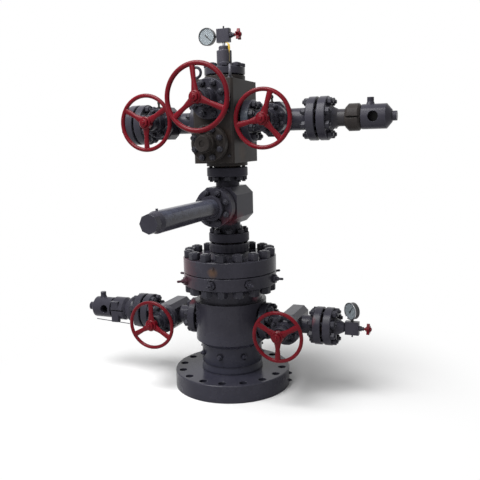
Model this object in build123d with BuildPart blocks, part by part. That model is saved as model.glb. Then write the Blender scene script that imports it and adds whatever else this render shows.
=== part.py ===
from build123d import *
import math
import os

# A production wellhead: a tubing head on its base flange, an adapter, a lower master valve with a
# cylinder actuator, a solid tree block with two wings, a cap with its gauge, and two side outlets.
# Millimetres, +Z up the well. The wheels face -Y, the outlet wing runs along +X, and the origin is
# the centre of the base flange's underside.

UP = (0, 0, 1)
DOWN = (0, 0, -1)
FRONT = (0, -1, 0)
BACK = (0, 1, 0)
RIGHT = (1, 0, 0)
LEFT = (-1, 0, 0)

# Tubing head
base_flange_r = 336.5
base_flange_t = 100.0
base_circle_from_rim = 41.25
base_hole_r = 22.5
base_hole_count = 16
seal_pocket_r = 123.5
seal_pocket_depth = 150.0
foot_ring_r = 180.0
foot_ring_h = 9.0
foot_cone_h = 37.0
foot_cone_top_r = 170.0
neck_r = 176.0
neck_h = 109.0
head_body_r = 207.0
head_chamfer_h = 25.0
head_body_h = 231.0
upper_neck_r = 183.0
upper_neck_h = 94.0
head_flange_r = 268.0
head_flange_t = 73.0
flange_edge = 4.0
outlet_from_body_base = 111.0
outlet_flat_depth = 17.0
outlet_flat_margin = 5.0

# Screws and plugs round the head
around_count = 8
plug_r = 13.0
plug_proud = 15.0
plug_edge = 3.0
plug_spot_margin = 8.0
spot_depth = 4.0
lock_gland_flats = 42.0
lock_gland_l = 20.0
lock_collar_r = 12.0
lock_collar_l = 14.0
lock_screw_r = 7.0
lock_screw_l = 26.0
lock_spot_margin = 2.0

# Adapter between the head and the valves
raised_face_r = 215.0
raised_face_h = 2.0
adapter_t = 87.0
adapter_hub_r = 120.0
adapter_waist_r = 105.0
adapter_hub_h = 25.0

# Run flanges, which join the valves to each other and to the block
run_flange_r = 115.5
run_flange_t = 51.0
wing_flange_t = 46.0
joint_gap = 8.0
wing_gap = 10.0
outer_gap = 12.0
cap_gap = 6.0
gasket_r = 68.0
gasket_wall = 12.0

# Gate valves: the tree's own size and the smaller one on the side outlets
master_l = 422.0
tree_valve_l = 406.0
tree_neck_r = 59.0
tree_cheek_w = 57.0
tree_cheek_h = 90.0
tree_cheek_cut = 25.0
tree_cheek_front = 140.0
tree_cheek_l = 95.0
tree_belly_r = 84.0
tree_belly_waist_r = 62.0
tree_belly_end_r = 50.0
tree_belly_l = 95.0
tree_bonnet_r = 80.0
tree_bonnet_t = 45.0
tree_seat_r = 62.0

# Lower master valve and its actuator
master_cheek_w = 110.0
master_cheek_h = 104.0
master_cheek_cut = 42.0
master_cheek_l = 250.0
master_back_boss_r = 96.0
master_back_boss_l = 38.0
master_bonnet_r = 108.0
master_bonnet_t = 60.0
master_neck_r = 67.0
actuator_r = 52.5
actuator_l = 590.0
actuator_collar_r = 68.0
actuator_collar_l = 37.0
nose_r = 43.0
nose_cone_l = 26.0
nose_l = 40.0
nose_sides = 8
air_port_r = 6.0
air_port_h = 9.0
air_port_from_end = 14.0

# Tree block
block_w = 236.0
block_d = 364.0
block_h = 447.0
block_edge = 10.0
block_stub_r = 116.0
block_lower_stub_h = 19.0
block_upper_stub_h = 25.0
wing_from_block_base = 224.0
swab_from_block_base = 341.0
lower_bonnet_from_block_base = 107.0
bonnet_seat_r = 82.0
bonnet_seat_gap = 4.0
master_seat_gap = 13.0
lower_seat_gap = 28.0
lower_bonnet_r = 99.0
block_bonnet_r = 108.0
block_bonnet_t = 45.0

# Bonnet barrels, drive sleeves and wheels
barrel_r = 50.0
barrel_front_r = 42.0
sleeve_r = 17.0
sleeve_clearance = 0.3
sleeve_l = 40.0
wheel_clearance = 6.0
hub_r = 33.0
hub_l = 38.0
hub_cap_r = 20.0
hub_cap_l = 9.0
spoke_count = 3
spoke_root_w = 44.0
spoke_waist_w = 25.0
spoke_thick = 19.0
swab_barrel_l = 127.0
lower_barrel_l = 75.0
swab_wheel_r = 181.0
swab_rim_r = 13.0
swab_dish = -12.0
wing_barrel_l = 102.0
wing_wheel_r = 154.0
wing_rim_r = 11.0

# Lifting eye screwed into the block's top at its front left corner
eye_ring_r = 27.5
eye_section_r = 7.5
eye_collar_r = 13.0
eye_collar_h = 6.0
eye_shank_h = 4.0
eye_from_side = 20.0
eye_from_front = 20.0

# Tree cap, needle valve blocks and gauges
cap_flange_r = 113.0
cap_flange_t = 42.0
cap_body_r = 42.0
cap_body_h = 90.0
cap_top_r = 30.0
cap_top_h = 26.0
nipple_r = 8.0
nipple_l = 19.0
needle_block_w = 76.0
needle_block_h = 73.0
needle_block_d = 34.0
needle_block_edge = 3.0
bleed_plug_r = 4.5
bleed_plug_l = 14.0
needle_gland_r = 13.0
needle_gland_l = 26.0
needle_stem_r = 6.0
needle_stem_l = 15.0
needle_stem_clearance = 0.3
star_r = 37.0
star_root_r = 17.0
star_points = 5
star_tip_r = 3.5
star_hub_r = 12.0
star_t = 16.0
gauge_r = 48.0
gauge_t = 34.0
gauge_bezel_l = 7.0
gauge_lip = 4.0
gauge_recess = 3.0
gauge_stem_r = 8.0
gauge_stem_l = 11.0
right_gauge_turn = 38.0

# Side outlet valves and what stands on them
side_valve_l = 361.0
side_flange_r = 105.0
side_flange_t = 44.0
side_neck_r = 52.0
side_cheek_w = 58.0
side_cheek_h = 77.0
side_cheek_cut = 26.0
side_cheek_front = 105.0
side_cheek_l = 220.0
side_seat_r = 60.0
side_bonnet_r = 83.0
side_bonnet_t = 42.0
side_barrel_l = 102.0
side_wheel_r = 141.0
side_rim_r = 10.0
blind_cone_l = 58.0
blind_nose_l = 5.0
blind_cone_r = 26.0
blind_cone_root_r = 56.0

# Outlet ends of the wings
hub_cone_root_r = 88.0
pipe_r = 45.0
hub_cone_l = 50.0
pipe_l = 40.0
union_r = 71.0
union_l = 85.0
union_edge = 17.0
union_slot_h = 9.0
union_slot_depth = 12.0
side_union_l = 108.0
clamp_ear_w = 52.0
clamp_ear_d = 32.0
clamp_ear_up = 56.0
clamp_ear_down = 73.0
clamp_ear_off_middle = 13.0
end_body_r = 64.0
end_body_l = 124.0
end_cone_l = 27.0
end_nose_r = 25.0
end_nose_l = 24.0
end_port_r = 27.0
end_port_depth = 60.0
end_port_edge = 4.0
wing_port_at = 62.0
wing_boss_at = 40.0
side_port_at = 41.0
side_boss_at = 80.0
end_boss_r = 17.5
end_boss_h = 34.0
end_boss_root = 14.0
bulb_r = 79.0
bulb_l = 75.0
bulb_neck_r = 60.0
bulb_from_flange = 6.0
bulb_shoulder_l = 16.0
bulb_shoulder_drop = 3.0
bulb_crown_l = 19.0
bulb_crown_from_shoulder = 10.0
bulb_lip_l = 8.0
bulb_lip_h = 4.0

# Places worked out from the sizes above
base_circle_r = base_flange_r - base_circle_from_rim
neck_z = base_flange_t + foot_ring_h + foot_cone_h
head_body_z = neck_z + neck_h + head_chamfer_h
head_flange_z = head_body_z + head_body_h + upper_neck_h
head_top_z = head_flange_z + head_flange_t
outlet_z = head_body_z + outlet_from_body_base
adapter_z = head_top_z + raised_face_h
adapter_top_z = adapter_z + adapter_t
small_flange_z = adapter_top_z + adapter_hub_h
master_z = small_flange_z + run_flange_t + joint_gap
master_centre_z = master_z + master_l / 2
block_stub_z = master_z + master_l + joint_gap
block_z = block_stub_z + block_lower_stub_h
block_top_z = block_z + block_h + block_upper_stub_h
wing_z = block_z + wing_from_block_base
swab_z = block_z + swab_from_block_base
lower_bonnet_z = block_z + lower_bonnet_from_block_base
cap_z = block_top_z + cap_gap
outlet_face_x = head_body_r - outlet_flat_depth
wing_valve_x = block_w / 2 + wing_gap + tree_valve_l / 2
side_valve_x = outlet_face_x + joint_gap + side_valve_l / 2


def point(start, along, distance):
    """The point that lies a distance from start along a direction."""
    return tuple(s + a * distance for s, a in zip(start, along))


def turn(start, along, outline, mode=Mode.ADD):
    """Turn an outline about the line from start; each of its points is (distance along, radius)."""
    side = BACK if along[2] else UP
    ends = [(outline[0][0], 0)] + outline + [(outline[-1][0], 0)]
    with BuildSketch(Plane(origin=start, x_dir=along, z_dir=side)) as section:
        with BuildLine():
            Polyline(*ends, close=True)
        make_face()
    revolve(section.sketch, Axis(start, along), mode=mode)


def prism(start, along, flats, length, sides=6, mode=Mode.ADD):
    """A bar with equal flats, such as a hexagon, from start along a direction."""
    with BuildSketch(Plane(origin=start, z_dir=along)) as section:
        RegularPolygon(flats / 2, sides, major_radius=False)
    extrude(section.sketch, length, mode=mode)


def around(count, radius, height, first_angle=0.0):
    """Points and outward directions spaced evenly round the well."""
    for k in range(count):
        angle = math.radians(first_angle + 360 * k / count)
        out = (math.cos(angle), math.sin(angle), 0)
        yield point((0, 0, height), out, radius), out


def disc(thickness, radius, at=0.0, edge=flange_edge):
    """The outline of a flange's disc with broken edges."""
    return [
        (at, radius - edge),
        (at + edge, radius),
        (at + thickness - edge, radius),
        (at + thickness, radius - edge),
    ]


def cheek(centre, width, height, cut, front, length):
    """A valve's cavity block: eight-sided seen from the wheel, running back from its front."""
    with BuildSketch(Plane(origin=point(centre, FRONT, front), x_dir=RIGHT, z_dir=BACK)) as section:
        Rectangle(2 * width, 2 * height)
        chamfer(section.vertices(), cut)
    extrude(section.sketch, length)


def valve_run(centre, along, length, flange_r, flange_t, neck_r):
    """The two flanges and the necks between them, turned about the run."""
    half = length / 2
    taper = flange_t * 0.6
    outline = disc(flange_t, flange_r, at=-half)
    outline += [(-half + flange_t, neck_r + taper / 4), (-half + flange_t + taper, neck_r)]
    outline += [(half - flange_t - taper, neck_r), (half - flange_t, neck_r + taper / 4)]
    outline += disc(flange_t, flange_r, at=half - flange_t)
    turn(centre, along, outline)


def bonnet(face, seat_r, seat_gap, flange_r, flange_t, barrel_l):
    """A round bonnet on its seat, with the barrel that holds the drive sleeve's bearings."""
    front = seat_gap + flange_t
    outline = [(0, seat_r), (seat_gap, seat_r)]
    outline += disc(flange_t, flange_r, at=seat_gap)
    outline += [(front, barrel_r + 6), (front + 6, barrel_r)]
    outline += [(front + barrel_l * 0.55, barrel_r), (front + barrel_l * 0.55, barrel_front_r)]
    outline += [(front + barrel_l - 4, barrel_front_r), (front + barrel_l, barrel_front_r - 4)]
    turn(face, FRONT, outline)
    bore = point(face, FRONT, front + barrel_l - sleeve_l)
    turn(bore, FRONT, [(0, sleeve_r + sleeve_clearance), (sleeve_l, sleeve_r + sleeve_clearance)],
         mode=Mode.SUBTRACT)


def wheel_centre(face, seat_gap, flange_t, barrel_l):
    """Where a wheel's hub is centred in front of a bonnet."""
    return point(face, FRONT, seat_gap + flange_t + barrel_l + wheel_clearance + hub_l / 2)


def hand_wheel(centre, rim_centre_r, rim_r, first_spoke, dish=0.0):
    """A cast wheel: a round rim set forward by its dish, waisted oval spokes, a hub and its nut."""
    with BuildSketch(Plane(origin=point(centre, FRONT, dish), x_dir=RIGHT, z_dir=UP)) as rim:
        with Locations((rim_centre_r, 0)):
            Circle(rim_r)
    revolve(rim.sketch, Axis(centre, FRONT))
    for k in range(spoke_count):
        angle = math.radians(first_spoke + 360 * k / spoke_count)
        out = (math.cos(angle), 0, math.sin(angle))
        spread = ((hub_r * 0.5, spoke_root_w, 0), (rim_centre_r * 0.5, spoke_waist_w, dish * 0.45),
                  (rim_centre_r, spoke_waist_w * 1.3, dish))
        sections = []
        for distance, width, forward in spread:
            place = point(point(centre, out, distance), FRONT, forward)
            with BuildSketch(Plane(origin=place, x_dir=BACK, z_dir=out)) as oval:
                Ellipse(spoke_thick / 2, width / 2)
            sections.append(oval.sketch)
        loft(sections, ruled=True)
    half = hub_l / 2
    back = half + wheel_clearance + sleeve_l
    turn(centre, FRONT, [
        (-back + 1, sleeve_r), (-half, sleeve_r), (-half, hub_r - 4), (-half + 4, hub_r),
        (half - 5, hub_r), (half, hub_r - 5), (half, hub_cap_r), (half + hub_cap_l - 3, hub_cap_r),
        (half + hub_cap_l, hub_cap_r - 3),
    ])


def needle_block(centre, plug_along):
    """The flat forged block of a gauge valve, with its stem's gland and a bleed plug."""
    with BuildSketch(Plane(origin=point(centre, DOWN, needle_block_h / 2))) as section:
        Rectangle(needle_block_w, needle_block_d)
        fillet(section.vertices(), needle_block_edge)
    extrude(section.sketch, needle_block_h)
    face = point(centre, RIGHT, needle_block_w / 2)
    prism(face, RIGHT, 2 * needle_gland_r, needle_gland_l * 0.5)
    turn(face, RIGHT, [(0, needle_gland_r * 0.8), (needle_gland_l, needle_gland_r * 0.8)])
    bore_r = needle_stem_r + needle_stem_clearance
    turn(face, RIGHT, [(0, bore_r), (needle_gland_l, bore_r)], mode=Mode.SUBTRACT)
    turn(point(centre, plug_along, needle_block_h / 2), plug_along,
         [(0, bleed_plug_r), (bleed_plug_l, bleed_plug_r)])


def star_handle(centre):
    """A five-pointed handle on its needle stem, turning about the X direction."""
    start = point(centre, RIGHT, needle_block_w / 2 + 1)
    stem_l = needle_gland_l + needle_stem_l
    turn(start, RIGHT, [
        (0, needle_stem_r), (stem_l - 6, needle_stem_r), (stem_l, star_hub_r),
        (stem_l + star_t + 3, star_hub_r),
    ])
    outline = []
    for k in range(2 * star_points):
        reach = star_root_r if k % 2 else star_r
        angle = math.pi * k / star_points
        outline.append((reach * math.cos(angle), reach * math.sin(angle)))
    with BuildSketch(Plane(origin=point(start, RIGHT, stem_l), x_dir=UP, z_dir=RIGHT)) as star:
        with BuildLine():
            Polyline(*outline, close=True)
        make_face()
        fillet(star.vertices(), star_tip_r)
    extrude(star.sketch, star_t)


def gauge(rim, stem_along, face_along):
    """A round case with its bezel. The stem enters at rim and the dial faces face_along."""
    centre = point(rim, stem_along, -(gauge_stem_l + gauge_r))
    back = point(centre, face_along, -gauge_t / 2)
    turn(back, face_along, [
        (0, gauge_r - 6), (4, gauge_r - 2), (gauge_t - gauge_bezel_l, gauge_r - 2),
        (gauge_t - gauge_bezel_l, gauge_r),
        (gauge_t - 1, gauge_r), (gauge_t, gauge_r - 1),
    ])
    turn(point(back, face_along, gauge_t - gauge_recess), face_along,
         [(0, gauge_r - gauge_lip), (gauge_recess, gauge_r - gauge_lip)], mode=Mode.SUBTRACT)
    turn(rim, tuple(-s for s in stem_along), [(0, gauge_stem_r), (gauge_stem_l + 8, gauge_stem_r)])


def clamp_union(start, along, length):
    """A clamp round two hubs, its halves parted by a slot at the front and at the back."""
    turn(start, along, [
        (0, union_r - union_edge), (union_edge, union_r), (length - union_edge, union_r),
        (length, union_r - union_edge),
    ])
    middle = point(start, along, length / 2)
    for side in (FRONT, BACK):
        slot = point(middle, side, union_r - union_slot_depth)
        with BuildSketch(Plane(origin=slot, x_dir=RIGHT, z_dir=side)) as outline:
            Rectangle(length + 2, union_slot_h)
        extrude(outline.sketch, union_slot_depth + 2, mode=Mode.SUBTRACT)


def outlet_end(start, along, port_at, boss_at):
    """A wing's end body with its front port, waisted top boss and blanked nose."""
    cone_end = end_body_l + end_cone_l
    turn(start, along, [
        (0, end_body_r), (end_body_l, end_body_r), (cone_end, end_nose_r + 7),
        (cone_end, end_nose_r), (cone_end + end_nose_l, end_nose_r),
    ])
    port = point(point(start, along, port_at), FRONT, end_body_r)
    turn(port, BACK, [(-1, end_port_r), (end_port_depth, end_port_r)], mode=Mode.SUBTRACT)
    turn(point(start, along, boss_at), UP, [
        (end_body_r * 0.6, end_boss_r + end_boss_root), (end_body_r + end_boss_h * 0.35, end_boss_r),
        (end_body_r + end_boss_h, end_boss_r),
    ])


# Head
with BuildPart() as tubing_head:
    turn((0, 0, 0), UP, [
        (0, base_flange_r), (base_flange_t - flange_edge, base_flange_r),
        (base_flange_t, base_flange_r - flange_edge), (base_flange_t, foot_ring_r),
        (base_flange_t + foot_ring_h, foot_ring_r), (neck_z, foot_cone_top_r), (neck_z, neck_r),
        (neck_z + neck_h, neck_r), (head_body_z, head_body_r), (head_body_z + head_body_h, head_body_r),
        (head_body_z + head_body_h, upper_neck_r), (head_flange_z, upper_neck_r),
        (head_flange_z, head_flange_r - flange_edge), (head_flange_z + flange_edge, head_flange_r),
        (head_top_z - flange_edge, head_flange_r), (head_top_z, head_flange_r - flange_edge),
    ])
    for side in (RIGHT, LEFT):
        flat = point((0, 0, outlet_z), side, outlet_face_x)
        flat_r = side_flange_r + outlet_flat_margin
        turn(flat, side, [(0, flat_r), (outlet_flat_depth + 1, flat_r)], mode=Mode.SUBTRACT)
    with Locations((0, 0, base_flange_t)):
        with PolarLocations(base_circle_r, base_hole_count, start_angle=180 / base_hole_count):
            Hole(base_hole_r, depth=base_flange_t)
    turn((0, 0, 0), UP, [(0, seal_pocket_r), (seal_pocket_depth, seal_pocket_r)], mode=Mode.SUBTRACT)
    plug_seat_r = neck_r - spot_depth
    plug_z = neck_z + neck_h * 0.55
    for seat, out in around(around_count, plug_seat_r, plug_z):
        turn(seat, out, [(0, plug_r + plug_spot_margin), (20, plug_r + plug_spot_margin)],
             mode=Mode.SUBTRACT)
    lock_seat_r = head_flange_r - spot_depth
    lock_spot_r = lock_gland_flats / math.sqrt(3) + lock_spot_margin
    lock_z = head_flange_z + head_flange_t / 2
    for seat, out in around(around_count, lock_seat_r, lock_z):
        turn(seat, out, [(0, lock_spot_r), (20, lock_spot_r)], mode=Mode.SUBTRACT)

with BuildPart() as neck_plugs:
    for seat, out in around(around_count, plug_seat_r, plug_z):
        turn(seat, out, [(0, plug_r), (plug_proud + spot_depth - plug_edge, plug_r),
                         (plug_proud + spot_depth, plug_r - plug_edge)])

with BuildPart() as lockdown_screws:
    for seat, out in around(around_count, lock_seat_r, lock_z):
        prism(seat, out, lock_gland_flats, lock_gland_l)
        collar = lock_gland_l + lock_collar_l
        tip = collar + lock_screw_l
        turn(seat, out, [(0, lock_collar_r), (collar - 2, lock_collar_r), (collar, lock_screw_r),
                         (tip - 3, lock_screw_r), (tip, lock_screw_r * 0.6)])

# Adapter
with BuildPart() as adapter_flange:
    turn((0, 0, 0), UP, [
        (head_top_z, raised_face_r), (adapter_z, raised_face_r), (adapter_z, head_flange_r - flange_edge),
        (adapter_z + flange_edge, head_flange_r), (adapter_top_z - flange_edge, head_flange_r),
        (adapter_top_z, head_flange_r - flange_edge), (adapter_top_z, adapter_hub_r),
        (small_flange_z, adapter_waist_r),
    ] + disc(run_flange_t, run_flange_r, at=small_flange_z))

# Master valve
master_centre = (0, 0, master_centre_z)
master_face = point(master_centre, FRONT, tree_cheek_front)
with BuildPart() as master_valve_body:
    valve_run(master_centre, UP, master_l, run_flange_r, run_flange_t, master_neck_r)
    cheek(master_centre, master_cheek_w, master_cheek_h, master_cheek_cut, tree_cheek_front,
          master_cheek_l)
    turn(point(master_face, BACK, master_cheek_l), BACK, [
        (0, master_back_boss_r), (master_back_boss_l - 12, master_back_boss_r),
        (master_back_boss_l, master_back_boss_r - 12),
    ])

with BuildPart() as master_bonnet:
    collar = master_seat_gap + master_bonnet_t
    turn(master_face, FRONT, [(0, bonnet_seat_r), (master_seat_gap, bonnet_seat_r)]
         + disc(master_bonnet_t, master_bonnet_r, at=master_seat_gap)
         + [(collar, actuator_collar_r), (collar + actuator_collar_l, actuator_collar_r)])
actuator_start = point(master_face, FRONT, collar + actuator_collar_l)

with BuildPart() as actuator_cylinder:
    turn(actuator_start, FRONT, [(0, actuator_r), (actuator_l, actuator_r)])
    air_port = point(actuator_start, FRONT, actuator_l - air_port_from_end)
    turn(air_port, UP, [(actuator_r * 0.5, air_port_r), (actuator_r + air_port_h, air_port_r)])
nose_start = point(actuator_start, FRONT, actuator_l)

with BuildPart() as actuator_nose:
    turn(nose_start, FRONT, [(0, actuator_r), (nose_cone_l, nose_r)])
    prism(point(nose_start, FRONT, nose_cone_l), FRONT, 2 * nose_r, nose_l, sides=nose_sides)

# Tree block
with BuildPart() as tree_block:
    with BuildSketch(Plane.XY.offset(block_z)) as outline:
        Rectangle(block_w, block_d)
        chamfer(outline.vertices(), block_edge)
    extrude(amount=block_h)
    turn((0, 0, block_stub_z), UP, [(0, block_stub_r), (block_lower_stub_h, block_stub_r)])
    turn((0, 0, block_z + block_h), UP, [(0, cap_flange_r), (block_upper_stub_h, cap_flange_r)])
block_front = -block_d / 2

with BuildPart() as block_lower_bonnet:
    bonnet((0, block_front, lower_bonnet_z), bonnet_seat_r, lower_seat_gap, lower_bonnet_r,
           block_bonnet_t, lower_barrel_l)
    stem_end = point((0, block_front, lower_bonnet_z), FRONT,
                     lower_seat_gap + block_bonnet_t + lower_barrel_l - sleeve_l)
    turn(stem_end, FRONT, [(-2, sleeve_r), (sleeve_l - 6, sleeve_r)])

with BuildPart() as swab_bonnet:
    bonnet((0, block_front, swab_z), bonnet_seat_r, bonnet_seat_gap, block_bonnet_r,
           block_bonnet_t, swab_barrel_l)

swab_centre = wheel_centre((0, block_front, swab_z), bonnet_seat_gap, block_bonnet_t, swab_barrel_l)
with BuildPart() as swab_handwheel:
    hand_wheel(swab_centre, swab_wheel_r - swab_rim_r, swab_rim_r, 97, dish=swab_dish)

with BuildPart() as lifting_eye:
    eye_foot = (-block_w / 2 + eye_from_side, block_front + eye_from_front, block_z + block_h)
    turn(eye_foot, UP, [(0, eye_collar_r), (eye_collar_h, eye_collar_r), (eye_collar_h + 3, eye_section_r),
                        (eye_collar_h + eye_shank_h, eye_section_r)])
    eye_centre = point(eye_foot, UP, eye_collar_h + eye_shank_h + eye_ring_r)
    with BuildSketch(Plane(origin=eye_centre, x_dir=RIGHT, z_dir=UP)) as ring:
        with Locations((eye_ring_r, 0)):
            Circle(eye_section_r)
    revolve(ring.sketch, Axis(eye_centre, FRONT))

# Cap and its gauge
with BuildPart() as tree_cap:
    turn((0, 0, cap_z), UP, disc(cap_flange_t, cap_flange_r)
         + [(cap_flange_t, cap_body_r), (cap_flange_t + cap_body_h, cap_body_r),
            (cap_flange_t + cap_body_h + 6, cap_top_r),
            (cap_flange_t + cap_body_h + cap_top_h - 5, cap_top_r),
            (cap_flange_t + cap_body_h + cap_top_h, cap_top_r - 5)])
nipple_z = cap_z + cap_flange_t + cap_body_h + cap_top_h

with BuildPart() as gauge_nipple:
    turn((0, 0, nipple_z), UP, [(0, nipple_r), (nipple_l, nipple_r)])
top_block_centre = (0, 0, nipple_z + nipple_l + needle_block_h / 2)

with BuildPart() as top_needle_valve:
    needle_block(top_block_centre, UP)

with BuildPart() as top_needle_handle:
    star_handle(top_block_centre)

with BuildPart() as top_gauge:
    gauge(point(top_block_centre, LEFT, needle_block_w / 2), RIGHT, FRONT)


def tree_wing(side, first_spoke):
    """One wing valve of the tree: its body, bonnet and wheel."""
    centre = point((0, 0, wing_z), side, wing_valve_x)
    face = point(centre, FRONT, tree_cheek_front)
    with BuildPart() as body:
        valve_run(centre, side, tree_valve_l, run_flange_r, wing_flange_t, tree_neck_r)
        cheek(centre, tree_cheek_w, tree_cheek_h, tree_cheek_cut, tree_cheek_front, tree_cheek_l)
        turn(point(face, BACK, tree_cheek_l), BACK, [
            (0, tree_belly_r), (tree_belly_l * 0.5, tree_belly_waist_r), (tree_belly_l, tree_belly_end_r),
        ])
    with BuildPart() as cover:
        bonnet(face, tree_seat_r, bonnet_seat_gap, tree_bonnet_r, tree_bonnet_t, wing_barrel_l)
    with BuildPart() as wheel:
        hub = wheel_centre(face, bonnet_seat_gap, tree_bonnet_t, wing_barrel_l)
        hand_wheel(hub, wing_wheel_r - wing_rim_r, wing_rim_r, first_spoke)
    return body.part, cover.part, wheel.part, hub


def side_wing(side, first_spoke):
    """One side outlet valve of the head: its body, bonnet and wheel."""
    centre = point((0, 0, outlet_z), side, side_valve_x)
    face = point(centre, FRONT, side_cheek_front)
    with BuildPart() as body:
        valve_run(centre, side, side_valve_l, side_flange_r, side_flange_t, side_neck_r)
        cheek(centre, side_cheek_w, side_cheek_h, side_cheek_cut, side_cheek_front, side_cheek_l)
    with BuildPart() as cover:
        bonnet(face, side_seat_r, bonnet_seat_gap, side_bonnet_r, side_bonnet_t, side_barrel_l)
    with BuildPart() as wheel:
        hub = wheel_centre(face, bonnet_seat_gap, side_bonnet_t, side_barrel_l)
        hand_wheel(hub, side_wheel_r - side_rim_r, side_rim_r, first_spoke)
    return body.part, cover.part, wheel.part, hub


right_wing = tree_wing(RIGHT, 72)
left_wing = tree_wing(LEFT, 30)
right_side = side_wing(RIGHT, 30)
left_side = side_wing(LEFT, 90)

# Outlet of the right wing
wing_outlet_x = wing_valve_x + tree_valve_l / 2 + outer_gap
with BuildPart() as right_wing_hub_flange:
    cone_end = wing_flange_t + hub_cone_l
    turn((wing_outlet_x, 0, wing_z), RIGHT, disc(wing_flange_t, run_flange_r)
         + [(wing_flange_t, hub_cone_root_r), (wing_flange_t + hub_cone_l * 0.45, pipe_r + 14),
            (cone_end, pipe_r), (cone_end + pipe_l, pipe_r)])
union_x = wing_outlet_x + cone_end + pipe_l
with BuildPart() as right_wing_union:
    clamp_union((union_x, 0, wing_z), RIGHT, union_l)
with BuildPart() as right_wing_end:
    outlet_end((union_x + union_l, 0, wing_z), RIGHT, wing_port_at, wing_boss_at)

# Blank on the left wing
with BuildPart() as left_wing_blind:
    turn((-wing_outlet_x, 0, wing_z), LEFT, disc(wing_flange_t, run_flange_r))

# Right side outlet: blank flange, needle valve and gauge
side_end_x = side_valve_x + side_valve_l / 2 + outer_gap
with BuildPart() as right_side_blind:
    turn((side_end_x, 0, outlet_z), RIGHT, disc(side_flange_t, side_flange_r)
         + [(side_flange_t, blind_cone_root_r), (side_flange_t + blind_cone_l, blind_cone_r),
            (side_flange_t + blind_cone_l + blind_nose_l, blind_cone_r * 0.6)])
side_block_x = side_end_x + side_flange_t + blind_cone_l + blind_nose_l + needle_block_w / 2
side_block_centre = (side_block_x, 0, outlet_z)
with BuildPart() as side_needle_valve:
    needle_block(side_block_centre, DOWN)
with BuildPart() as side_needle_handle:
    star_handle(side_block_centre)
with BuildPart() as side_gauge:
    turned = math.radians(right_gauge_turn)
    gauge(point(side_block_centre, UP, needle_block_h / 2), DOWN, (-math.sin(turned), -math.cos(turned), 0))

# Left side outlet: hub flange with its bulb, the clamp with its ear, and the end
with BuildPart() as left_side_hub_flange:
    bulb_start = side_flange_t + bulb_from_flange
    crown = bulb_start + bulb_shoulder_l + bulb_crown_from_shoulder
    turn((-side_end_x, 0, outlet_z), LEFT, disc(side_flange_t, side_flange_r)
         + [(side_flange_t, bulb_neck_r), (bulb_start, bulb_neck_r),
            (bulb_start + bulb_shoulder_l, bulb_r - bulb_shoulder_drop), (crown, bulb_r),
            (crown + bulb_crown_l, bulb_r), (bulb_start + bulb_l - bulb_lip_l, bulb_neck_r + bulb_lip_h),
            (bulb_start + bulb_l, bulb_neck_r)])
left_union_x = side_end_x + bulb_start + bulb_l
ear_along = (-left_union_x - side_union_l / 2 - clamp_ear_off_middle, 0, outlet_z)
with BuildPart() as left_side_union:
    clamp_union((-left_union_x, 0, outlet_z), LEFT, side_union_l)
    ear_foot = point(point(ear_along, FRONT, union_r - clamp_ear_d / 2), DOWN, clamp_ear_down)
    with BuildSketch(Plane(origin=ear_foot)) as ear:
        RectangleRounded(clamp_ear_w, clamp_ear_d, 8)
    extrude(ear.sketch, clamp_ear_down - union_slot_h / 2)
    with BuildSketch(Plane(origin=point(ear_foot, UP, clamp_ear_down + union_slot_h / 2))) as upper_ear:
        RectangleRounded(clamp_ear_w, clamp_ear_d, 8)
    extrude(upper_ear.sketch, clamp_ear_up - union_slot_h / 2)
with BuildPart() as left_side_end:
    outlet_end((-left_union_x - side_union_l, 0, outlet_z), LEFT, side_port_at, side_boss_at)

# Rings between the flanges
with BuildPart() as ring_gaskets:
    joints = [
        ((0, 0, master_z - joint_gap), UP, joint_gap),
        ((0, 0, block_stub_z - joint_gap), UP, joint_gap),
        ((0, 0, block_top_z), UP, cap_gap),
    ]
    for side in (RIGHT, LEFT):
        joints += [
            (point((0, 0, wing_z), side, block_w / 2), side, wing_gap),
            (point((0, 0, wing_z), side, wing_outlet_x - outer_gap), side, outer_gap),
            (point((0, 0, outlet_z), side, outlet_face_x), side, joint_gap),
            (point((0, 0, outlet_z), side, side_end_x - outer_gap), side, outer_gap),
        ]
    for start, along, gap in joints:
        turn(start, along, [(0, gasket_r), (gap, gasket_r)])
        turn(start, along, [(0, gasket_r - gasket_wall), (gap, gasket_r - gasket_wall)],
             mode=Mode.SUBTRACT)

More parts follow.
